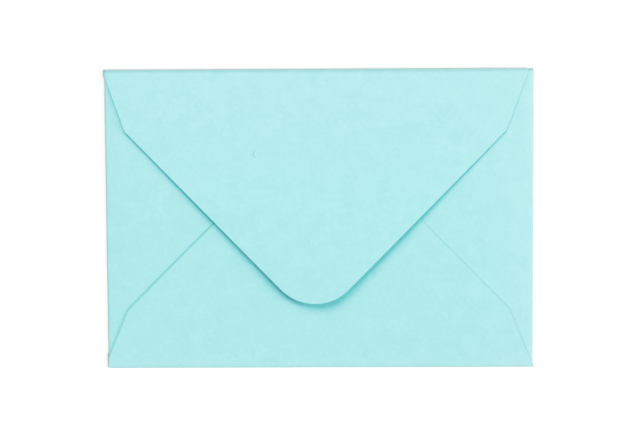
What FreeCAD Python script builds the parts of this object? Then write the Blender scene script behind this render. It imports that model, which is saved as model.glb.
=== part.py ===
import FreeCAD, Part
import math
import os

# A paper envelope of one folded sheet, in millimetres. It lies on z = 0 with its plain front down
# and its four flaps on top. X runs along its length and Y towards the fold of the top flap.

# Outer size, over the folds
LENGTH = 162.0
HEIGHT = 114.0
PAPER = 0.15

# Air between the layers where they leave their folds, which sets the size of each fold
POCKET_GAP = 0.3
SEAM_GAP = 0.05
FLAP_GAP = 0.45

# Corners of the blank: the side flaps end NOTCH short of the top and bottom folds, whose own ends
# may stand out past the side folds by EAR
NOTCH = 0.1
EAR = 0.4

# Top flap: steep short sides as far as a knee, then straight to a round tip. The sheet was folded a
# little askew, so the flap sits to the left of the middle and drifts further left towards its tip
TOP_TAPER = 21.1
TOP_KNEE_INSET = 9.4
TOP_KNEE_DEPTH = 24.0
TOP_TIP_TO_BOTTOM = 24.4
TOP_TIP_RADIUS = 17.2
TOP_SHIFT = -1.2
TOP_DRIFT = -0.75

# Bottom flap: sides of the same form, and a straight end hidden under the top flap
BOTTOM_TAPER = 22.4
BOTTOM_KNEE_INSET = 8.4
BOTTOM_KNEE_DEPTH = 22.8
BOTTOM_END_WIDTH = 47.0
BOTTOM_END_RADIUS = 12.0
THROAT = 42.0
BOTTOM_SHIFT = -0.55
BOTTOM_DRIFT = 0.6

# The knees of both are slightly rounded
KNEE_RADIUS = 3.0

# Side flaps: the round tip reaches this far past the last point of the flap that shows
SIDE_COVER = 9.6
SIDE_TIP_RADIUS = 12.0

# Seams: the bottom flap is stuck to the side flaps in a band beside each slanting edge
SEAM_INSET = 1.2
SEAM_WIDTH = 6.5

# Spring of the paper: the pocket stands open by BELLY, mostly within BELLY_RUN of a fold and
# within MOUTH_RUN of the top, and the top flap rises by LIFT towards its tip. The slanting edges
# of the top flap curl down by half of CURL, mostly within CURL_RUN
BELLY = 0.8
BELLY_RUN = 10.0
MOUTH_RUN = 18.0
LIFT = 0.85
CURL = 0.6
CURL_RUN = 4.0

# Spacing of the points that the bent layers pass through
GRID = 5.0

# Outer radius of each fold
SIDE_FOLD = POCKET_GAP / 2 + PAPER
BOTTOM_FOLD = SIDE_FOLD + (SEAM_GAP + PAPER) / 2
TOP_FOLD = SIDE_FOLD + (FLAP_GAP + PAPER) / 2

# Where the layers go over into the rounds of the folds
FLAT_X = LENGTH / 2 - SIDE_FOLD
FLAT_BOTTOM = BOTTOM_FOLD - HEIGHT / 2
FLAT_TOP = HEIGHT / 2 - TOP_FOLD
SIDE_LOW = FLAT_BOTTOM + NOTCH
SIDE_HIGH = FLAT_TOP - NOTCH
EAR_X = LENGTH / 2 + EAR

# How far an outline runs past the fold, where the end of the bent layer is the true end
BEYOND = 5.0


def point(x, y, z=0.0):
    return FreeCAD.Vector(x, y, z)


def rounded_face(corners):
    """A level face from (x, y, radius) corners, with an arc wherever the radius isn't zero."""
    places = [point(x, y) for x, y, radius in corners]
    bends = []
    for i, (x, y, radius) in enumerate(corners):
        back = (places[i - 1] - places[i]).normalize()
        ahead = (places[(i + 1) % len(places)] - places[i]).normalize()
        half_angle = back.getAngle(ahead) / 2
        run = radius / math.tan(half_angle)
        middle = places[i]
        if radius:
            inward = (back + ahead).normalize()
            middle = places[i] + inward * (radius / math.sin(half_angle) - radius)
        bends.append((places[i] + back * run, middle, places[i] + ahead * run))
    edges = []
    for i, (start, middle, end) in enumerate(bends):
        if corners[i][2]:
            edges.append(Part.Arc(start, middle, end).toShape())
        edges.append(Part.LineSegment(end, bends[(i + 1) % len(bends)][0]).toShape())
    return Part.Face(Part.Wire(edges))


def apex_depth(half_width, depth, radius):
    """Where two straight edges would meet that touch a round tip of this depth and radius."""
    to_centre = depth - radius
    slope = math.atan2(to_centre, half_width) + math.asin(radius / math.hypot(half_width, to_centre))
    return half_width * math.tan(slope)


def crossing(a, b, c, d):
    """The point where the line through a and b meets the line through c and d."""
    along = b - a
    other = d - c
    turn = along.x * other.y - along.y * other.x
    share = ((c.x - a.x) * other.y - (c.y - a.y) * other.x) / turn
    return a + along * share


# Half widths of the top and bottom flaps at the knee and at the fold
TOP_KNEE_HALF = LENGTH / 2 - TOP_KNEE_INSET
TOP_BASE_HALF = TOP_KNEE_HALF + (TOP_KNEE_DEPTH - TOP_FOLD) * math.tan(math.radians(TOP_TAPER))
BOTTOM_KNEE_HALF = LENGTH / 2 - BOTTOM_KNEE_INSET
BOTTOM_RISE = BOTTOM_KNEE_DEPTH - BOTTOM_FOLD
BOTTOM_BASE_HALF = BOTTOM_KNEE_HALF + BOTTOM_RISE * math.tan(math.radians(BOTTOM_TAPER))

# How far the two flaps reach, and where the slanting edges of the top flap would meet
TOP_DEPTH = HEIGHT - TOP_TIP_TO_BOTTOM
TOP_APEX = TOP_KNEE_DEPTH + apex_depth(TOP_KNEE_HALF, TOP_DEPTH - TOP_KNEE_DEPTH, TOP_TIP_RADIUS)
BOTTOM_DEPTH = HEIGHT - THROAT


def top_place(u, depth):
    """A point of the top flap, from its place along the fold and its distance from the fold."""
    return point(u + TOP_SHIFT + TOP_DRIFT * depth / TOP_APEX, HEIGHT / 2 - depth)


def bottom_place(u, depth):
    """The same for the bottom flap."""
    return point(u + BOTTOM_SHIFT + BOTTOM_DRIFT * depth / BOTTOM_DEPTH, depth - HEIGHT / 2)


def top_fold_ends():
    left = max(-EAR_X, top_place(-TOP_BASE_HALF, TOP_FOLD).x)
    right = min(EAR_X, top_place(TOP_BASE_HALF, TOP_FOLD).x)
    return left, right


def bottom_fold_ends():
    left = max(-EAR_X, bottom_place(-BOTTOM_BASE_HALF, BOTTOM_FOLD).x)
    right = min(EAR_X, bottom_place(BOTTOM_BASE_HALF, BOTTOM_FOLD).x)
    return left, right


def flap_face(place, half):
    """A flap's outline from the (u, depth, radius) corners of its right half."""
    other_half = [(-u, depth, radius) for u, depth, radius in reversed(half) if u]
    corners = half + other_half
    return rounded_face([(place(u, d).x, place(u, d).y, radius) for u, d, radius in corners])


def top_face():
    half = [
        (TOP_BASE_HALF, -BEYOND, 0),
        (TOP_BASE_HALF, TOP_FOLD, 0),
        (TOP_KNEE_HALF, TOP_KNEE_DEPTH, KNEE_RADIUS),
        (0, TOP_APEX, TOP_TIP_RADIUS),
    ]
    return flap_face(top_place, half)


def bottom_face():
    half = [
        (BOTTOM_BASE_HALF, -BEYOND, 0),
        (BOTTOM_BASE_HALF, BOTTOM_FOLD, 0),
        (BOTTOM_KNEE_HALF, BOTTOM_KNEE_DEPTH, KNEE_RADIUS),
        (BOTTOM_END_WIDTH / 2, BOTTOM_DEPTH, BOTTOM_END_RADIUS),
    ]
    return flap_face(bottom_place, half)


def slanting_edge(side):
    """The straight of the bottom flap's slanting edge on side -1 or 1, as its two ends."""
    knee = bottom_place(side * BOTTOM_KNEE_HALF, BOTTOM_KNEE_DEPTH)
    end = bottom_place(side * BOTTOM_END_WIDTH / 2, BOTTOM_DEPTH)
    return knee, end


def last_shown(side):
    """How far from the middle the slanting edge goes under the top flap."""
    knee, end = slanting_edge(side)
    top_knee = top_place(side * TOP_KNEE_HALF, TOP_KNEE_DEPTH)
    return abs(crossing(top_knee, top_place(0, TOP_APEX), knee, end).x)


def side_face(side):
    """The outline of a side flap, from its fold to its round tip."""
    half_height = (SIDE_HIGH - SIDE_LOW) / 2
    reach = FLAT_X - min(last_shown(-1), last_shown(1)) + SIDE_COVER
    apex = FLAT_X - apex_depth(half_height, reach, SIDE_TIP_RADIUS)
    corners = [
        (side * FLAT_X, SIDE_LOW, 0),
        (side * apex, (SIDE_HIGH + SIDE_LOW) / 2, SIDE_TIP_RADIUS),
        (side * FLAT_X, SIDE_HIGH, 0),
    ]
    return rounded_face(corners)


def seam_face(side):
    """The stuck band, as far as the bottom flap lies on the side flap there."""
    knee, end = slanting_edge(side)
    along = (end - knee).normalize()
    inward = point(-side * abs(along.y), -abs(along.x))
    near = inward * SEAM_INSET
    far = inward * (SEAM_INSET + SEAM_WIDTH)
    corners = [knee + near, end + near, end + far, knee + far]
    band = rounded_face([(corner.x, corner.y, 0) for corner in corners])
    return band.common(side_face(side))


def fill(distance, run):
    """How far a springy layer has opened at this distance from its fold, from 0 to 1."""
    return 1 - math.exp(-distance / run)


def pocket_rise(x, y):
    """The belly of the pocket: nothing at the folds and BELLY in the middle."""
    across = fill(FLAT_X - abs(x), BELLY_RUN)
    return BELLY * across * fill(y - FLAT_BOTTOM, BELLY_RUN) * fill(FLAT_TOP - y, MOUTH_RUN)


def edge_curl(x, y):
    """How far the top flap curls down beside its two slanting edges."""
    apex = top_place(0, TOP_APEX)
    total = 0.0
    for side in (-1, 1):
        edge = (top_place(side * TOP_KNEE_HALF, TOP_KNEE_DEPTH) - apex).normalize()
        inside = side * ((y - apex.y) * edge.x - (x - apex.x) * edge.y)
        total += CURL / (1 + math.exp(inside / CURL_RUN))
    return total


def flap_rise(x, y):
    """The height of the top flap over its fold: it follows the belly, lifts and curls."""
    depth = FLAT_TOP - y
    bend = BELLY * fill(FLAT_X - abs(x), BELLY_RUN) - edge_curl(x, y)
    return bend * fill(depth, MOUTH_RUN) + LIFT * depth / TOP_DEPTH


def bent_layer(rise, floor, thickness, y_from, y_to):
    """A bent layer over the whole length, with its underside at floor + rise(x, y)."""
    x_count = round(2 * FLAT_X / GRID)
    y_count = round((y_to - y_from) / GRID)
    columns = [FLAT_X * (2 * i / x_count - 1) for i in range(x_count + 1)]
    columns = [-EAR_X] + columns + [EAR_X]
    lines = [y_from + (y_to - y_from) * j / y_count for j in range(y_count + 1)]
    surface = Part.BSplineSurface()
    surface.interpolate([[point(x, y, floor + rise(x, y)) for y in lines] for x in columns])
    return surface.toShape().extrude(point(0, 0, thickness))


def cut_out(layer, face):
    """The part of a bent layer that lies over a level face."""
    well_over = LENGTH / 2
    return layer.common(face.translated(point(0, 0, -well_over)).extrude(point(0, 0, LENGTH)))


def bare_corners():
    """The corners of the front where the top or bottom fold ends short of the side fold."""
    high_ends = [(x, SIDE_HIGH, HEIGHT / 2 - SIDE_FOLD) for x in top_fold_ends()]
    low_ends = [(x, SIDE_FOLD - HEIGHT / 2, SIDE_LOW) for x in bottom_fold_ends()]
    corners = []
    for x, y0, y1 in high_ends + low_ends:
        if abs(x) < FLAT_X:
            x0, x1 = sorted([x, math.copysign(FLAT_X, x)])
            corners.append((x0, x1, y0, y1))
    return corners


def front_panel():
    """The front, level on the ground, as strips that each end where their folds do."""
    top_left, top_right = top_fold_ends()
    low_left, low_right = bottom_fold_ends()
    strips = [
        (-FLAT_X, FLAT_X, SIDE_LOW, SIDE_HIGH),
        (top_left, top_right, SIDE_HIGH, FLAT_TOP),
        (low_left, low_right, FLAT_BOTTOM, SIDE_LOW),
    ]
    strips += bare_corners()
    boxes = [Part.makeBox(x1 - x0, y1 - y0, PAPER, point(x0, y0)) for x0, x1, y0, y1 in strips]
    return boxes[0].multiFuse(boxes[1:])


def fold_roll(radius, start, along, outward):
    """The round of a fold: half a tube from start, as long as along, bulging to outward."""
    axis_foot = start + point(0, 0, radius)
    up = point(0, 0, 1)
    inner = radius - PAPER
    outer_arc = Part.Arc(axis_foot - up * radius, axis_foot + outward * radius, axis_foot + up * radius)
    inner_arc = Part.Arc(axis_foot + up * inner, axis_foot + outward * inner, axis_foot - up * inner)
    edges = [
        outer_arc.toShape(),
        Part.LineSegment(axis_foot + up * radius, axis_foot + up * inner).toShape(),
        inner_arc.toShape(),
        Part.LineSegment(axis_foot - up * inner, axis_foot - up * radius).toShape(),
    ]
    return Part.Face(Part.Wire(edges)).extrude(along)


def folds():
    top_left, top_right = top_fold_ends()
    low_left, low_right = bottom_fold_ends()
    top_run = point(top_right - top_left, 0)
    low_run = point(low_right - low_left, 0)
    side_run = point(0, SIDE_HIGH - SIDE_LOW)
    return [
        fold_roll(TOP_FOLD, point(top_left, FLAT_TOP), top_run, point(0, 1)),
        fold_roll(BOTTOM_FOLD, point(low_left, FLAT_BOTTOM), low_run, point(0, -1)),
        fold_roll(SIDE_FOLD, point(-FLAT_X, SIDE_LOW), side_run, point(-1, 0)),
        fold_roll(SIDE_FOLD, point(FLAT_X, SIDE_LOW), side_run, point(1, 0)),
    ]


def pocket_layer(floor, thickness):
    return bent_layer(pocket_rise, floor, thickness, FLAT_BOTTOM, FLAT_TOP)


def side_flaps():
    layer = pocket_layer(2 * SIDE_FOLD - PAPER, PAPER)
    return [cut_out(layer, side_face(side)) for side in (-1, 1)]


def bottom_flap():
    return cut_out(pocket_layer(2 * BOTTOM_FOLD - PAPER, PAPER), bottom_face())


def seams():
    """The stuck bands, from the middle of the side flap's paper to that of the bottom flap's."""
    layer = pocket_layer(2 * SIDE_FOLD - PAPER / 2, PAPER + SEAM_GAP)
    return [cut_out(layer, seam_face(side)) for side in (-1, 1)]


def top_flap():
    past_tip = HEIGHT / 2 - TOP_DEPTH - BEYOND
    layer = bent_layer(flap_rise, 2 * TOP_FOLD - PAPER, PAPER, past_tip, FLAT_TOP)
    return cut_out(layer, top_face())


def envelope_sheet():
    flaps = side_flaps() + [bottom_flap(), top_flap()]
    return front_panel().multiFuse(folds() + flaps + seams()).removeSplitter()


os.makedirs("parts", exist_ok=True)
envelope_sheet().exportStep("parts/envelope_sheet.step")
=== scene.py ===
import math
import bmesh
import bpy
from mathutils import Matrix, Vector


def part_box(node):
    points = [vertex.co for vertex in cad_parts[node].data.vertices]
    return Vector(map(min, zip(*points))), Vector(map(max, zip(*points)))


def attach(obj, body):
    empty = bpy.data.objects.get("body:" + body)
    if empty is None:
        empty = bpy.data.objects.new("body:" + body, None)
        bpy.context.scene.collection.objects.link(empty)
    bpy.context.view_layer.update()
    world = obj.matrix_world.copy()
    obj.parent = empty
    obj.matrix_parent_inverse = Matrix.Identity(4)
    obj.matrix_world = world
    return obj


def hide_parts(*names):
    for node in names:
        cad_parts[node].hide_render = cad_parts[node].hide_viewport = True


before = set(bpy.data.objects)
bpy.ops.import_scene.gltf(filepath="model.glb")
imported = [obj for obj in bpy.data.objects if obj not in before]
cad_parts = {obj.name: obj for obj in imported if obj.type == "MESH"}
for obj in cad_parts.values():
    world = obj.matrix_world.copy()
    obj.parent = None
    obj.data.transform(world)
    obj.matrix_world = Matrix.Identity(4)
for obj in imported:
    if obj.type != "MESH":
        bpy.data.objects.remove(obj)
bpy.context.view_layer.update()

# Front panel. The envelope is a single sheet of aqua paper, die cut to a blank of a front and four
# flaps. The front is the part that stays flat on the table, plain side down. Sizes are in metres
LENGTH = 0.162
PAPER = 0.00015
SIDE_FOLD = 0.0003
BOTTOM_FOLD = 0.0004
TOP_FOLD = 0.0006
TOP_FOLD_RIGHT = 0.079025
NOTCH = 0.0001
EAR_TRIM = 0.0002
GRID = 0.0015
FINEST = 1e-7
FRONT, TOP, BOTTOM, LEFT, RIGHT = range(5)

lowest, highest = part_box("envelope_sheet")
BOTTOM_LEFT_END = -LENGTH / 2
TOP_LEFT_END = lowest.x + EAR_TRIM
RIGHT_END = highest.x
HEIGHT = 2 * highest.y
FLAT_X = LENGTH / 2 - SIDE_FOLD
FLAT_BOTTOM = BOTTOM_FOLD - HEIGHT / 2
FLAT_TOP = HEIGHT / 2 - TOP_FOLD
SIDE_LOW = FLAT_BOTTOM + NOTCH
SIDE_HIGH = FLAT_TOP - NOTCH


def spread(start, end, step):
    """Places from start to end that divide it evenly, no more than step apart."""
    count = math.ceil(abs(end - start) / step)
    return [start + (end - start) * i / count for i in range(count + 1)]


def slice_at(part, faces, places, normal):
    """Cuts faces along straight lines across normal, so that the sheet can bend there."""
    for place in places:
        edges = {edge for face in faces for edge in face.edges}
        corners = {corner for face in faces for corner in face.verts}
        near = list(corners) + list(edges) + list(faces)
        cut = bmesh.ops.bisect_plane(
            part, geom=near, dist=FINEST, plane_co=normal * place, plane_no=normal
        )
        faces = [piece for piece in cut["geom"] if isinstance(piece, bmesh.types.BMFace)]
    return faces


def cut_part(outline, columns, rows):
    """A flat part of the blank with this outline, cut into a grid."""
    part = bmesh.new()
    face = part.faces.new([part.verts.new((x, y, 0)) for x, y in outline])
    face.normal_update()
    if face.normal.z < 0:
        face.normal_flip()
    strips = slice_at(part, part.faces[:], columns, Vector((1, 0, 0)))
    slice_at(part, strips, rows, Vector((0, 1, 0)))
    return part


def add_part(blank, flap, part):
    """Lays a part down beside the others in the blank, marked with the flap that it is."""
    mark = part.verts.layers.int.new("flap")
    for corner in part.verts:
        corner[mark] = flap
    mesh = bpy.data.meshes.new("part")
    part.to_mesh(mesh)
    part.free()
    blank.from_mesh(mesh)
    bpy.data.meshes.remove(mesh)


columns = spread(-FLAT_X, FLAT_X, GRID)
rows = spread(FLAT_BOTTOM, FLAT_TOP, GRID)
bare_edge = HEIGHT / 2
front_outline = [
    (BOTTOM_LEFT_END, FLAT_BOTTOM),
    (RIGHT_END, FLAT_BOTTOM),
    (RIGHT_END, SIDE_LOW),
    (FLAT_X, SIDE_LOW),
    (FLAT_X, bare_edge),
    (TOP_FOLD_RIGHT, bare_edge),
    (TOP_FOLD_RIGHT, FLAT_TOP),
    (TOP_LEFT_END, FLAT_TOP),
    (TOP_LEFT_END, SIDE_HIGH),
    (-FLAT_X, SIDE_HIGH),
    (-FLAT_X, SIDE_LOW),
    (BOTTOM_LEFT_END, SIDE_LOW),
]
blank = bmesh.new()
blank.verts.layers.int.new("flap")
add_part(blank, FRONT, cut_part(front_outline, columns, rows + [SIDE_LOW, SIDE_HIGH]))

# Side flaps. The left and right flaps of the sheet are folded in first, over the front. Each is a
# triangle with slanting edges of about 45 degrees and a round tip, and only a strip of it shows
SIDE_REACH = 0.05232
SIDE_TIP_RADIUS = 0.012
SIDE_SHOULDER = 0.002
SHOULDER_STEPS = 6
SIDE_STEPS = 8
ARC_STEP = math.radians(4)


def past_fold(outer_radius, run=0.0):
    """How far from its fold line a point of the blank lies that is run beyond the round."""
    return math.pi * (outer_radius - PAPER / 2) + run


def round_steps(outer_radius, count):
    """The lines along which the round of a fold bends, as distances from the fold line."""
    return [past_fold(outer_radius) * i / count for i in range(count)]


def apex_depth(half_width, depth, radius):
    """Where two straight edges would meet that touch a round tip of this depth and radius."""
    to_centre = depth - radius
    slope = math.atan2(to_centre, half_width) + math.asin(radius / math.hypot(half_width, to_centre))
    return half_width * math.tan(slope)


def rounded(corners):
    """An outline from (x, y, radius) corners, with an arc wherever the radius isn't zero."""
    places = [Vector((x, y)) for x, y, radius in corners]
    outline = []
    for i, (x, y, radius) in enumerate(corners):
        if not radius:
            outline.append((x, y))
            continue
        back = (places[i - 1] - places[i]).normalized()
        ahead = (places[(i + 1) % len(places)] - places[i]).normalized()
        half_angle = back.angle(ahead) / 2
        centre = places[i] + (back + ahead).normalized() * radius / math.sin(half_angle)
        start = places[i] + back * radius / math.tan(half_angle) - centre
        end = places[i] + ahead * radius / math.tan(half_angle) - centre
        for share in spread(0, 1, ARC_STEP / start.angle(end)):
            outline.append(tuple(centre + radius * start.slerp(end, share)))
    return outline


side_middle = (SIDE_LOW + SIDE_HIGH) / 2
side_apex = apex_depth(SIDE_HIGH - side_middle, SIDE_REACH, SIDE_TIP_RADIUS)
round_end = FLAT_X + past_fold(SIDE_FOLD)
right_outline = rounded([
    (FLAT_X, SIDE_LOW, 0),
    (round_end, SIDE_LOW, 0),
    (round_end + side_apex, side_middle, SIDE_TIP_RADIUS),
    (round_end + SIDE_SHOULDER, SIDE_HIGH, 0),
    (FLAT_X, SIDE_HIGH, 0),
])
left_outline = [(-x, y) for x, y in right_outline]
side_columns = [FLAT_X + step for step in round_steps(SIDE_FOLD, SIDE_STEPS)]
side_columns += spread(round_end, round_end + SIDE_SHOULDER, SIDE_SHOULDER / SHOULDER_STEPS)
side_columns += spread(round_end + SIDE_SHOULDER, round_end + SIDE_REACH, GRID)
add_part(blank, RIGHT, cut_part(right_outline, side_columns, rows))
add_part(blank, LEFT, cut_part(left_outline, [-x for x in side_columns], rows))

# Bottom flap. It is folded up over the side flaps and stuck to them along its two slanting edges.
# Short steep sides run as far as a knee, and its straight end is hidden under the top flap
BOTTOM_TAPER = math.radians(22.4)
BOTTOM_KNEE_DEPTH = 0.0228
BOTTOM_END_WIDTH = 0.0482
BOTTOM_END_RADIUS = 0.012
THROAT = 0.042
BOTTOM_SHIFT = -0.0008
BOTTOM_DRIFT = 0.0006
BOTTOM_STEPS = 8
KNEE_RADIUS = 0.0015
EDGE_CUTS = (0.00012, 0.00027, 0.0005, 0.001, 0.002)


def flap_outline(half, place):
    """A flap's outline in the blank, from the (u, depth, radius) corners of its right half."""
    other_half = [(-u, depth, radius) for u, depth, radius in reversed(half) if u]
    return rounded([(*place(u, depth), radius) for u, depth, radius in half + other_half])


def trim_ears(part, left_end):
    """Cuts a flap's two corners off upright, where they would stand out past the side folds."""
    for end, outward in ((left_end, Vector((-1, 0, 0))), (RIGHT_END, Vector((1, 0, 0)))):
        everything = part.verts[:] + part.edges[:] + part.faces[:]
        bmesh.ops.bisect_plane(
            part,
            geom=everything,
            dist=FINEST,
            plane_co=(end, 0, 0),
            plane_no=outward,
            clear_outer=True,
        )


def unit_across(start, end, towards):
    """The direction level with the paper and square to the line, on the side of towards."""
    along = (end - start).normalized()
    across = Vector((-along.y, along.x, 0))
    return across if across.dot(towards - start) > 0 else -across


def note_free_edges(part, half, place):
    """Cuts a flap's flat finely beside its free edges, and notes how far each point is from them."""
    middle = Vector((*place(0, half[0][1]), 0))
    outward = place(0, half[-1][1])[1] - middle.y
    for side, name in ((-1, "from_left"), (1, "from_right")):
        ends = [Vector((*place(side * u, depth), 0)) for u, depth, radius in half]
        lines = [(start, unit_across(start, end, middle)) for start, end in zip(ends, ends[1:])]
        for start, across in lines:
            middles = {face: face.calc_center_median().y - middle.y for face in part.faces}
            flat = [face for face, past in middles.items() if outward * past > 0]
            slice_at(part, flat, [across.dot(start) + cut for cut in EDGE_CUTS], across)
        distance = part.verts.layers.float.new(name)
        for corner in part.verts:
            corner[distance] = min((corner.co - start).dot(across) for start, across in lines)


def bottom_place(u, depth):
    """Where in the blank a point of the bottom flap lies that is depth up from its fold."""
    x = u + BOTTOM_SHIFT + BOTTOM_DRIFT * max(depth, 0) / bottom_depth
    return x, FLAT_BOTTOM - past_fold(BOTTOM_FOLD, depth - BOTTOM_FOLD)


bottom_depth = HEIGHT - THROAT
bottom_base = RIGHT_END - BOTTOM_SHIFT
bottom_knee = bottom_base - (BOTTOM_KNEE_DEPTH - BOTTOM_FOLD) * math.tan(BOTTOM_TAPER)
bottom_half = [
    (bottom_base, BOTTOM_FOLD - past_fold(BOTTOM_FOLD), 0),
    (bottom_base, BOTTOM_FOLD, 0),
    (bottom_knee, BOTTOM_KNEE_DEPTH, KNEE_RADIUS),
    (BOTTOM_END_WIDTH / 2, bottom_depth, BOTTOM_END_RADIUS),
]
bottom_rows = [FLAT_BOTTOM - step for step in round_steps(BOTTOM_FOLD, BOTTOM_STEPS)]
bottom_rows += [bottom_place(0, depth)[1] for depth in spread(BOTTOM_FOLD, bottom_depth, GRID)]
bottom_flap = cut_part(flap_outline(bottom_half, bottom_place), columns, bottom_rows)
trim_ears(bottom_flap, BOTTOM_LEFT_END)
note_free_edges(bottom_flap, bottom_half[1:], bottom_place)
add_part(blank, BOTTOM, bottom_flap)

# Top flap. It is folded down last and left unstuck. It has a like form with a deep round tip. The
# sheet was folded a little askew, so it sits to the left and drifts further left towards its tip
TOP_TAPER = math.radians(19.88)
TOP_KNEE_DEPTH = 0.0231
TOP_TIP_TO_BOTTOM = 0.0250
TOP_TIP_RADIUS = 0.0180
TOP_SHIFT = -0.00136
TOP_DRIFT = -0.0009
TOP_STEPS = 10
DENT_PLACE = Vector((-0.0247, 0.02505))
DENT_REACH = 0.0018
DENT_GRID = 0.00015


def top_place(u, depth):
    """Where in the blank a point of the top flap lies that is depth down from its fold."""
    x = u + TOP_SHIFT + TOP_DRIFT * max(depth, 0) / top_apex
    return x, FLAT_TOP + past_fold(TOP_FOLD, depth - TOP_FOLD)


def refine(part, place, reach, step):
    """Cuts the faces around a place finely, where the sheet has a small dent."""
    corner = Vector((reach, reach))
    middles = {face: face.calc_center_median().to_2d() - place for face in part.faces}
    faces = [face for face, gap in middles.items() if max(abs(gap.x), abs(gap.y)) < reach]
    low = place - corner
    high = place + corner
    strips = slice_at(part, faces, spread(low.x, high.x, step), Vector((1, 0, 0)))
    slice_at(part, strips, spread(low.y, high.y, step), Vector((0, 1, 0)))


top_depth = HEIGHT - TOP_TIP_TO_BOTTOM
top_base = TOP_FOLD_RIGHT - TOP_SHIFT
top_knee = top_base - (TOP_KNEE_DEPTH - TOP_FOLD) * math.tan(TOP_TAPER)
top_apex = TOP_KNEE_DEPTH + apex_depth(top_knee, top_depth - TOP_KNEE_DEPTH, TOP_TIP_RADIUS)
top_half = [
    (top_base, TOP_FOLD - past_fold(TOP_FOLD), 0),
    (top_base, TOP_FOLD, 0),
    (top_knee, TOP_KNEE_DEPTH, KNEE_RADIUS),
    (0, top_apex, TOP_TIP_RADIUS),
]
top_rows = [FLAT_TOP + step for step in round_steps(TOP_FOLD, TOP_STEPS)]
top_rows += [top_place(0, depth)[1] for depth in spread(TOP_FOLD, top_depth, GRID)]
top_flap = cut_part(flap_outline(top_half, top_place), columns, top_rows)
trim_ears(top_flap, TOP_LEFT_END)
note_free_edges(top_flap, top_half[1:], top_place)
dent_in_blank = Vector((DENT_PLACE.x, FLAT_TOP + past_fold(TOP_FOLD, FLAT_TOP - DENT_PLACE.y)))
refine(top_flap, dent_in_blank, DENT_REACH, DENT_GRID)
add_part(blank, TOP, top_flap)

# The paper. It is uncoated and dyed through, so its cut edges are aqua too, with faint clouds, fine
# fibres and a matt tooth. Painted light makes it redder and paler near its top, bottom and right folds,
# with a painted highlight along the right fold, and painted shade darkens its fold rounds, its cut
# edges, its two seams and the rim of the small dent
BETWEEN_FLAPS = 0.5
# Painted shade: a dark round rim on the left of the small dent
DENT_RIM = 0.0008
DENT_RIM_WIDTH = 0.0003
DENT_SQUEEZE = 0.8
DENT_RIM_OFFSET = 0.0004
DENT_RIM_PAST = 0.3
DENT_PAINTED_SHADE = 0.33
DYE = (0.308, 0.775, 0.80)
ROUGHNESS = 0.85
ROUGHNESS_CHANGE = 0.1
# Painted light: red added near the top fold, fading over the run, where the lamp lights the paper more
TOP_PAINTED_LIGHT = 0.07
TOP_PAINTED_LIGHT_RUN = 0.040
# Painted light: red added close beside the bottom fold
BOTTOM_PAINTED_LIGHT = 0.07
BOTTOM_PAINTED_LIGHT_RUN = 0.004
# Painted light: red added towards the right fold, on the side that faces the lamps
RIGHT_PAINTED_LIGHT = 0.09
RIGHT_PAINTED_LIGHT_RUN = 0.012
# Painted highlight: a narrow pale strip on the round of the right fold
RIGHT_PAINTED_HIGHLIGHT = 0.22
RIGHT_PAINTED_HIGHLIGHT_RUN = 0.0012
# Painted shade on the rounds of the folds, strongest on the top fold
TOP_CREASE_PAINTED_SHADE = 0.5
CREASE_PAINTED_SHADE = 0.08
PAINTED_SHADE_SPREAD = 0.6
# Painted shade on the cut edges of the paper
CUT_EDGE_PAINTED_SHADE = 0.1
# Painted shadow lines along the bottom flap's two glued edges, darker on the left and greyer in green
# and blue
LEFT_SEAM_PAINTED_SHADOW = 0.32
RIGHT_SEAM_PAINTED_SHADOW = 0.16
SEAM_SHADOW_WIDTH = 0.0004
SEAM_SHADOW_GREY = 1.2
RED_CLOUD = 0.8
CLOUD = 0.12
MOTTLE = 0.08
MOTTLE_SIZE = 0.0006
CLOUD_SIZE = 0.007
SMALL_CLOUD_SIZE = 0.0018
FIBRE = 0.55
FIBRE_CURL = 0.003
FIBRE_WIDTH = 0.022
FIBRE_LENGTH = 0.002
TOOTH_SIZE = 0.0002
TOOTH_HEIGHT = 0.00004


class Term:
    """A number in a node tree. Working with it as with a number adds the nodes for that."""

    def __init__(self, tree, socket):
        self.tree = tree
        self.socket = socket

    def rule(self, operation, *others, first=None):
        """Adds a math node on this number and the others, after first where that is given."""
        node = self.tree.nodes.new("ShaderNodeMath")
        node.operation = operation
        values = (self, *others) if first is None else (first, self, *others)
        for socket, value in zip(node.inputs, values):
            plug(self.tree, socket, value)
        return Term(self.tree, node.outputs[0])

    def __add__(self, other):
        return self.rule("ADD", other)

    def __sub__(self, other):
        return self.rule("SUBTRACT", other)

    def __rsub__(self, other):
        return self.rule("SUBTRACT", first=other)

    def __mul__(self, other):
        return self.rule("MULTIPLY", other)

    def __truediv__(self, other):
        return self.rule("DIVIDE", other)


def plug(tree, socket, value):
    """Joins a socket to a term or another socket, or sets it to a plain value."""
    if isinstance(value, Term):
        tree.links.new(value.socket, socket)
    elif isinstance(value, bpy.types.NodeSocket):
        tree.links.new(value, socket)
    else:
        socket.default_value = value


def add_node(tree, kind, inputs, **settings):
    """Adds a node with these settings, and joins or sets the inputs that are named."""
    node = tree.nodes.new(kind)
    for name, value in settings.items():
        setattr(node, name, value)
    for name, value in inputs.items():
        plug(tree, node.inputs[name], value)
    return node


def opened(distance, run):
    """How far a springy layer has opened at this distance from its fold, from 0 to 1."""
    return 1 - (distance.rule("MAXIMUM", 0.0) / run * -1.0).rule("EXPONENT")


def hump(distance, width):
    """A smooth hump that is 1 in its middle and falls away over width."""
    return ((distance / width).rule("POWER", 2.0) * -1.0).rule("EXPONENT")


def fold_depth(place, line, outer_radius):
    """How far a place of the blank lies from the middle of a fold's round."""
    return place - (line + past_fold(outer_radius) / 2)


def grain(tree, place, size):
    """Even noise about zero, with blots of this size."""
    inputs = {"Vector": place, "Scale": 1 / size}
    return Term(tree, add_node(tree, "ShaderNodeTexNoise", inputs).outputs[0]) - 0.5


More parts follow.
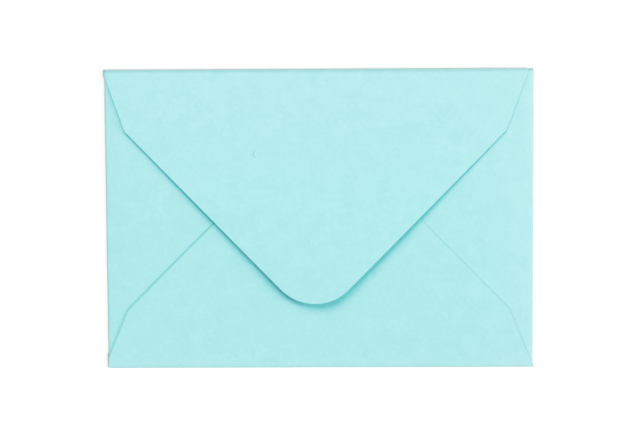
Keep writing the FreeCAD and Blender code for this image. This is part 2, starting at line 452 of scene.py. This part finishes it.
def painted_fold_light_and_shade(x, y):
    """The painted light near the folds, as red added to the aqua, and the painted shade on their
    rounds.
    """
    top = fold_depth(y, FLAT_TOP, TOP_FOLD)
    bottom = fold_depth(y * -1.0, -FLAT_BOTTOM, BOTTOM_FOLD)
    right = fold_depth(x, FLAT_X, SIDE_FOLD)
    left = fold_depth(x * -1.0, FLAT_X, SIDE_FOLD)
    # Painted light as added red: near the top fold, the bottom fold and the right side, and a painted
    # highlight on the right fold
    painted_light = hump(top, TOP_PAINTED_LIGHT_RUN) * TOP_PAINTED_LIGHT
    painted_light = painted_light + (1.0 - opened(bottom.rule("ABSOLUTE"), BOTTOM_PAINTED_LIGHT_RUN)) * BOTTOM_PAINTED_LIGHT
    painted_light = painted_light + (1.0 - opened(right.rule("ABSOLUTE"), RIGHT_PAINTED_LIGHT_RUN)) * RIGHT_PAINTED_LIGHT
    # Painted highlight on the right fold's round
    painted_light = painted_light + hump(right, RIGHT_PAINTED_HIGHLIGHT_RUN) * RIGHT_PAINTED_HIGHLIGHT
    # Painted shade on the fold rounds
    painted_shade = hump(top, past_fold(TOP_FOLD) * PAINTED_SHADE_SPREAD) * TOP_CREASE_PAINTED_SHADE
    for depth, radius in ((bottom, BOTTOM_FOLD), (right, SIDE_FOLD), (left, SIDE_FOLD)):
        painted_shade = painted_shade + hump(depth, past_fold(radius) * PAINTED_SHADE_SPREAD) * CREASE_PAINTED_SHADE
    return painted_light, painted_shade


def painted_dent_shade(x, y):
    """The painted shade on the left rim of the small dent."""
    across = x - (dent_in_blank.x + DENT_RIM_OFFSET)
    along = (y - dent_in_blank.y) * DENT_SQUEEZE
    painted_rim = hump((across * across + along * along).rule("SQRT") - DENT_RIM, DENT_RIM_WIDTH)
    left_part = (across / DENT_RIM * -1.0 + DENT_RIM_PAST).rule("MAXIMUM", 0.0).rule("MINIMUM", 1.0)
    return painted_rim * left_part * DENT_PAINTED_SHADE


def paper_finish():
    """Uncoated aqua paper, dyed through: faintly cloudy, with fine fibres and a matt tooth, and with
    painted light and shade.
    """
    material = bpy.data.materials.new("aqua_paper")
    material.use_nodes = True
    tree = material.node_tree
    place = add_node(tree, "ShaderNodeUVMap", {}, uv_map="Blank").outputs["UV"]
    apart = add_node(tree, "ShaderNodeSeparateXYZ", {"Vector": place})
    x = Term(tree, apart.outputs["X"])
    y = Term(tree, apart.outputs["Y"])
    painted_light, painted_shade = painted_fold_light_and_shade(x, y)
    painted_shade = painted_shade + painted_dent_shade(x, y)

    cloud = grain(tree, place, CLOUD_SIZE) + grain(tree, place, SMALL_CLOUD_SIZE)
    mottle = grain(tree, place, MOTTLE_SIZE) * MOTTLE
    curls = 1.0 - (grain(tree, place, FIBRE_CURL).rule("ABSOLUTE") / FIBRE_WIDTH).rule("MINIMUM", 1.0)
    fibres = curls * grain(tree, place, FIBRE_LENGTH).rule("MAXIMUM", 0.0)

    facts = {}
    for name in ("cut_edge", "flap", "from_left", "from_right"):
        fact = add_node(tree, "ShaderNodeAttribute", {}, attribute_name=name)
        facts[name] = Term(tree, fact.outputs["Fac"])
    # Painted shadow lines along the bottom flap's glued edges
    seam_shadows = hump(facts["from_left"], SEAM_SHADOW_WIDTH) * LEFT_SEAM_PAINTED_SHADOW
    seam_shadows = seam_shadows + hump(facts["from_right"], SEAM_SHADOW_WIDTH) * RIGHT_SEAM_PAINTED_SHADOW
    seam_shadows = seam_shadows * facts["flap"].rule("COMPARE", BOTTOM, BETWEEN_FLAPS)
    # Painted shade: the fold rounds, the dent's rim and the cut edges darken the dye
    shade = 1.0 - painted_shade - facts["cut_edge"] * CUT_EDGE_PAINTED_SHADE

    channels = {}
    for name, dye in zip(("Red", "Green", "Blue"), DYE):
        tone = cloud * CLOUD + mottle + fibres * FIBRE + 1.0
        # The painted seam shadow takes more from green and blue than from red
        line = seam_shadows * SEAM_SHADOW_GREY
        if name == "Red":
            # The painted light goes into the red alone, making the aqua paler
            tone = tone + cloud * (CLOUD * RED_CLOUD) + painted_light
            line = seam_shadows
        channels[name] = tone * (shade - line) * dye
    tint = add_node(tree, "ShaderNodeCombineColor", channels)
    tooth = {"Distance": TOOTH_HEIGHT, "Height": grain(tree, place, TOOTH_SIZE)}
    bump = add_node(tree, "ShaderNodeBump", tooth)
    shader = tree.nodes["Principled BSDF"]
    plug(tree, shader.inputs["Base Color"], tint.outputs[0])
    plug(tree, shader.inputs["Roughness"], cloud * ROUGHNESS_CHANGE + ROUGHNESS)
    plug(tree, shader.inputs["Normal"], bump.outputs[0])
    return material


# The folded sheet. All four flaps are turned over along their folds and spring back a little: the
# pocket stands open, and the top flap lifts towards its tip, with its left edge curled down and its
# right edge up
BELLY = 0.0008
BELLY_RUN = 0.010
BOTTOM_RUN = 0.030
MOUTH_RUN = 0.026
LIFT = 0.0014
LIFT_RUN = 0.050
LEFT_CURL = -0.0005
RIGHT_CURL = 0.0032
CURL_RUN = 0.003
LEFT_BORDER = 0.0001
RIGHT_BORDER = 0.00004
BORDER_RUN = 0.00025
CORNER_RISE = 0.0004
CORNER_RUN = 0.005
CORNER_START = 0.0008
EAR_FLAT = 0.4
EAR_RUN = 0.0008
UNEVEN = 0.15
UNEVEN_SIZE = 0.025
UNEVEN_DETAIL = 1.0
DENT_DEPTH = 0.00005
DENT_WIDTH = 0.00045
DENT_LENGTH = 0.0009
SAME_PLACE = 1e-6
SHARP_ANGLE = math.radians(40)


def vector_rule(tree, operation, *vectors, **inputs):
    """Adds a vector math node and gives it back."""
    node = add_node(tree, "ShaderNodeVectorMath", inputs, operation=operation)
    for socket, value in zip(node.inputs, vectors):
        plug(tree, socket, value)
    return node


def new_tree(name, sizes):
    """A Geometry Nodes tree with an input for each size, as (tree, its inputs as terms)."""
    tree = bpy.data.node_groups.new(name, "GeometryNodeTree")
    tree.interface.new_socket("Geometry", in_out="OUTPUT", socket_type="NodeSocketGeometry")
    tree.interface.new_socket("Geometry", in_out="INPUT", socket_type="NodeSocketGeometry")
    for size, value in sizes.items():
        kind = "NodeSocketFloat"
        if isinstance(value, Vector):
            kind = "NodeSocketVector"
        elif isinstance(value, bpy.types.Material):
            kind = "NodeSocketMaterial"
        tree.interface.new_socket(size, in_out="INPUT", socket_type=kind)
    given = add_node(tree, "NodeGroupInput", {})
    return tree, {socket.name: Term(tree, socket) for socket in given.outputs if socket.name}


def end_tree(tree, geometry):
    add_node(tree, "NodeGroupOutput", {"Geometry": geometry})


def noted(tree, name, data_type="FLOAT"):
    """What was noted in the blank for each point, such as the flap that it belongs to."""
    node = add_node(tree, "GeometryNodeInputNamedAttribute", {"Name": name}, data_type=data_type)
    return Term(tree, node.outputs["Attribute"])


def fold_tree():
    """Turns one flap over about its fold line, round a bend of the given middle radius."""
    sizes = {"Flap": 0.0, "Line": 0.0, "Radius": 0.0, "Outward": Vector()}
    tree, given = new_tree("fold_over", sizes)
    position = add_node(tree, "GeometryNodeInputPosition", {}).outputs[0]
    along = vector_rule(tree, "DOT_PRODUCT", position, given["Outward"]).outputs["Value"]
    past = (Term(tree, along) - given["Line"]).rule("MAXIMUM", 0.0)
    angle = (past / given["Radius"]).rule("MINIMUM", math.pi)
    run = past - angle * given["Radius"]
    slide = angle.rule("SINE") * given["Radius"] - run - past
    rise = given["Radius"] - angle.rule("COSINE") * given["Radius"]
    level = vector_rule(tree, "SCALE", given["Outward"], Scale=slide).outputs["Vector"]
    upward = add_node(tree, "ShaderNodeCombineXYZ", {"Z": rise}).outputs[0]
    moved = add_node(tree, "GeometryNodeSetPosition", {
        "Geometry": given["Geometry"],
        "Selection": noted(tree, "flap", "INT").rule("COMPARE", given["Flap"], BETWEEN_FLAPS),
        "Offset": vector_rule(tree, "ADD", level, upward).outputs["Vector"],
    })
    end_tree(tree, moved.outputs[0])
    return tree


def spring_rise(tree, given):
    """How far each layer stands up from where a sharp fold would lay it."""
    position = add_node(tree, "GeometryNodeInputPosition", {}).outputs[0]
    apart = add_node(tree, "ShaderNodeSeparateXYZ", {"Vector": position})
    x = Term(tree, apart.outputs["X"])
    y = Term(tree, apart.outputs["Y"])
    z = Term(tree, apart.outputs["Z"])
    from_side = given["Flat half length"] - x.rule("ABSOLUTE")
    from_top = given["Flat top"] - y
    from_bottom = y - given["Flat bottom"]
    from_left = noted(tree, "from_left")
    from_right = noted(tree, "from_right")

    noise = {"Scale": given["Uneven scale"], "Detail": UNEVEN_DETAIL}
    wave = Term(tree, add_node(tree, "ShaderNodeTexNoise", noise).outputs[0]) - 0.5
    belly = given["Belly"] * (wave * given["Unevenness"] + 1.0) * opened(from_side, given["Belly run"])
    mouth = opened(from_top, given["Mouth run"])
    pocket = belly * opened(from_bottom, given["Bottom run"]) * mouth
    corner = given["Corner rise"] * (1.0 - opened(from_top, given["Corner run"]))
    corner = corner * opened(from_side, given["Corner start"])

    left_curl = given["Left curl"] / ((from_left / given["Curl run"]).rule("EXPONENT") + 1.0)
    right_curl = given["Right curl"] / ((from_right / given["Curl run"]).rule("EXPONENT") + 1.0)
    freed = (1.0 - hump(from_top.rule("MAXIMUM", 0.0), given["Lift run"])).rule("POWER", 2.0)
    dent = given["Dent depth"] * hump(x - given["Dent x"], given["Dent width"])
    dent = dent * hump(y - given["Dent y"], given["Dent length"])
    ear = z * given["Ear flatness"] * (1.0 - opened(x - given["Top left end"], given["Ear run"]))
    top = belly * mouth + (given["Lift"] + left_curl + right_curl) * freed - dent - ear

    left_border = given["Left border"] * (1.0 - opened(from_left, given["Border run"]))
    right_border = given["Right border"] * (1.0 - opened(from_right, given["Border run"]))
    border = (left_border + right_border) * opened(from_bottom, given["Border run"])

    flap = noted(tree, "flap", "INT")
    rise = top * flap.rule("COMPARE", TOP, BETWEEN_FLAPS)
    rise = rise + border * flap.rule("COMPARE", BOTTOM, BETWEEN_FLAPS)
    rise = rise + corner * flap.rule("GREATER_THAN", BOTTOM + BETWEEN_FLAPS)
    return rise + pocket * flap.rule("GREATER_THAN", TOP + BETWEEN_FLAPS)


def merged(tree, geometry):
    """Joins the points that lie together, so that the sheet is whole."""
    inputs = {"Geometry": geometry, "Distance": SAME_PLACE}
    return add_node(tree, "GeometryNodeMergeByDistance", inputs).outputs[0]


def thicken(tree, middle, paper):
    """The sheet with its thickness, from its middle surface, and with its cut edges marked."""
    normal = add_node(tree, "GeometryNodeInputNormal", {}).outputs["Normal"]
    down = vector_rule(tree, "SCALE", normal, Scale=paper * -0.5).outputs["Vector"]
    lower = add_node(tree, "GeometryNodeSetPosition", {"Geometry": middle, "Offset": down}).outputs[0]
    raised = add_node(tree, "GeometryNodeExtrudeMesh", {
        "Mesh": lower,
        "Offset Scale": paper,
        "Individual": False,
    })
    edged = add_node(tree, "GeometryNodeStoreNamedAttribute", {
        "Geometry": raised.outputs["Mesh"],
        "Name": "cut_edge",
        "Value": raised.outputs["Side"],
    }, data_type="FLOAT", domain="FACE")
    back = add_node(tree, "GeometryNodeFlipFaces", {"Mesh": lower})
    joined = add_node(tree, "GeometryNodeJoinGeometry", {})
    for sheet in (edged, back):
        tree.links.new(sheet.outputs[0], joined.inputs[0])
    return merged(tree, joined.outputs[0])


def envelope_tree(sizes):
    """Folds the blank, lets it spring back and gives it the thickness of the paper."""
    tree, given = new_tree("envelope_sheet", sizes)
    folding = fold_tree()
    geometry = given["Geometry"]
    folds = [
        (LEFT, given["Flat half length"], given["Side bend"], Vector((-1, 0, 0))),
        (RIGHT, given["Flat half length"], given["Side bend"], Vector((1, 0, 0))),
        (BOTTOM, given["Flat bottom"] * -1.0, given["Bottom bend"], Vector((0, -1, 0))),
        (TOP, given["Flat top"], given["Top bend"], Vector((0, 1, 0))),
    ]
    for flap, line, bend, outward in folds:
        fold = tree.nodes.new("GeometryNodeGroup")
        fold.node_tree = folding
        bent = {"Geometry": geometry, "Flap": flap, "Line": line, "Radius": bend, "Outward": outward}
        for name, value in bent.items():
            plug(tree, fold.inputs[name], value)
        geometry = fold.outputs[0]
    up = add_node(tree, "ShaderNodeCombineXYZ", {"Z": spring_rise(tree, given) + given["Paper"] * 0.5})
    sprung = add_node(tree, "GeometryNodeSetPosition", {"Geometry": geometry, "Offset": up.outputs[0]})
    whole = thicken(tree, merged(tree, sprung.outputs[0]), given["Paper"])
    real = add_node(tree, "GeometryNodeRealizeInstances", {"Geometry": whole})
    dressed = {"Geometry": real.outputs[0], "Material": given["Finish"]}
    end_tree(tree, add_node(tree, "GeometryNodeSetMaterial", dressed).outputs[0])
    return tree


sizes = {
    "Paper": PAPER,
    "Flat half length": FLAT_X,
    "Flat bottom": FLAT_BOTTOM,
    "Flat top": FLAT_TOP,
    "Side bend": SIDE_FOLD - PAPER / 2,
    "Bottom bend": BOTTOM_FOLD - PAPER / 2,
    "Top bend": TOP_FOLD - PAPER / 2,
    "Belly": BELLY,
    "Belly run": BELLY_RUN,
    "Bottom run": BOTTOM_RUN,
    "Unevenness": UNEVEN,
    "Uneven scale": 1 / UNEVEN_SIZE,
    "Mouth run": MOUTH_RUN,
    "Lift": LIFT,
    "Lift run": LIFT_RUN,
    "Left curl": LEFT_CURL,
    "Right curl": RIGHT_CURL,
    "Curl run": CURL_RUN,
    "Left border": LEFT_BORDER,
    "Right border": RIGHT_BORDER,
    "Border run": BORDER_RUN,
    "Corner rise": CORNER_RISE,
    "Corner run": CORNER_RUN,
    "Corner start": CORNER_START,
    "Top left end": TOP_LEFT_END,
    "Ear flatness": EAR_FLAT,
    "Ear run": EAR_RUN,
    "Dent x": DENT_PLACE.x,
    "Dent y": DENT_PLACE.y,
    "Dent depth": DENT_DEPTH,
    "Dent width": DENT_WIDTH,
    "Dent length": DENT_LENGTH,
    "Finish": paper_finish(),
}
blank_mesh = bpy.data.meshes.new("blank")
blank.to_mesh(blank_mesh)
blank.free()
blank_map = blank_mesh.uv_layers.new(name="Blank")
for loop in blank_mesh.loops:
    blank_map.data[loop.index].uv = blank_mesh.vertices[loop.vertex_index].co.xy
paper_sheet = bpy.data.objects.new("paper_sheet", blank_mesh)
bpy.context.scene.collection.objects.link(paper_sheet)
folding = paper_sheet.modifiers.new("folding", "NODES")
folding.node_group = envelope_tree(sizes)
for item in folding.node_group.interface.items_tree:
    if item.in_out == "INPUT" and item.name in sizes:
        folding[item.identifier] = sizes[item.name]
folded = paper_sheet.evaluated_get(bpy.context.evaluated_depsgraph_get())
paper_sheet.data = bpy.data.meshes.new_from_object(folded)
paper_sheet.modifiers.clear()
paper_sheet.data.polygons.foreach_set("use_smooth", [True] * len(paper_sheet.data.polygons))
paper_sheet.data.set_sharp_from_angle(angle=SHARP_ANGLE)
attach(paper_sheet, "root")
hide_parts("envelope_sheet")

# Floor, light and camera. A plain white table and a soft white surround, with one soft lamp for the
# paper, one for the table and a low one for both, seen from almost straight above
FLOOR_HALF = 2.0
FLOOR_WHITE = (0.92, 0.92, 0.92, 1)
FLOOR_ROUGHNESS = 0.9
floor_mesh = bpy.data.meshes.new("floor")
corners = [(x * FLOOR_HALF, y * FLOOR_HALF, 0) for x, y in ((-1, -1), (1, -1), (1, 1), (-1, 1))]
floor_mesh.from_pydata(corners, [], [(0, 1, 2, 3)])
floor = bpy.data.objects.new("floor", floor_mesh)
bpy.context.scene.collection.objects.link(floor)
floor_paint = bpy.data.materials.new("floor")
floor_paint.use_nodes = True
floor_shader = floor_paint.node_tree.nodes["Principled BSDF"]
floor_shader.inputs["Base Color"].default_value = FLOOR_WHITE
floor_shader.inputs["Roughness"].default_value = FLOOR_ROUGHNESS
floor_mesh.materials.append(floor_paint)

SURROUND_STRENGTH = 0.51
world = bpy.data.worlds.new("studio")
world.use_nodes = True
surround = world.node_tree.nodes["Background"]
surround.inputs["Color"].default_value = (1, 1, 1, 1)
surround.inputs["Strength"].default_value = SURROUND_STRENGTH
bpy.context.scene.world = world

# Each lamp's direction in degrees from the right, height in degrees, width in metres and power in watts
WINDOW_LIGHT = (88, 39, 2.9, 163.0)
FLOOR_LIGHT = (-33, 44, 2.4, 250.0)
SIDE_LIGHT = (0, 16, 1.6, 125.0)
LAMP_DISTANCE = 4.0


def soft_lamp(name, towards, height, size, power, lit=None):
    """A round soft light that looks at the envelope. Where lit is given, it lights that alone."""
    lamp = bpy.data.lights.new(name, "AREA")
    lamp.shape = "DISK"
    lamp.size = size
    lamp.energy = power
    stand = bpy.data.objects.new(name, lamp)
    towards = math.radians(towards)
    height = math.radians(height)
    direction = Vector((
        math.cos(height) * math.cos(towards),
        math.cos(height) * math.sin(towards),
        math.sin(height),
    ))
    stand.location = direction * LAMP_DISTANCE
    stand.rotation_euler = direction.to_track_quat("Z", "Y").to_euler()
    bpy.context.scene.collection.objects.link(stand)
    if lit:
        stand.light_linking.receiver_collection = bpy.data.collections.new(name)
        stand.light_linking.receiver_collection.objects.link(lit)


soft_lamp("window_light", *WINDOW_LIGHT, paper_sheet)
soft_lamp("floor_light", *FLOOR_LIGHT, floor)
soft_lamp("side_light", *SIDE_LIGHT)

SENSOR_WIDTH = 36.0
LENS = 142.72
CAMERA_PLACE = (0.01394, 0.11448, 0.957)
CAMERA_TURN = tuple(math.radians(degrees) for degrees in (-6.695, 0.797, -0.322))
camera = bpy.data.cameras.new("camera")
camera.sensor_fit = "HORIZONTAL"
camera.sensor_width = SENSOR_WIDTH
camera.lens = LENS
camera_stand = bpy.data.objects.new("camera", camera)
camera_stand.location = CAMERA_PLACE
camera_stand.rotation_euler = CAMERA_TURN
bpy.context.scene.collection.objects.link(camera_stand)
bpy.context.scene.camera = camera_stand

# The camera's tone curve, from light to brightness in the picture, with full white at the last
TONES = (
    (0.0, 0.0),
    (0.15, 0.11),
    (0.24, 0.195),
    (0.41, 0.445),
    (1.0, 0.831),
    (1.5, 1.0),
)
COMBINED = 3
display = bpy.context.scene.view_settings
display.view_transform = "Standard"
display.use_curve_mapping = True
response = display.curve_mapping
response.white_level = (TONES[-1][0],) * 3
together = response.curves[COMBINED]
together.points[-1].location = (1.0, TONES[-1][1])
for light, brightness in TONES[1:-1]:
    together.points.new(light / TONES[-1][0], brightness)
response.update()
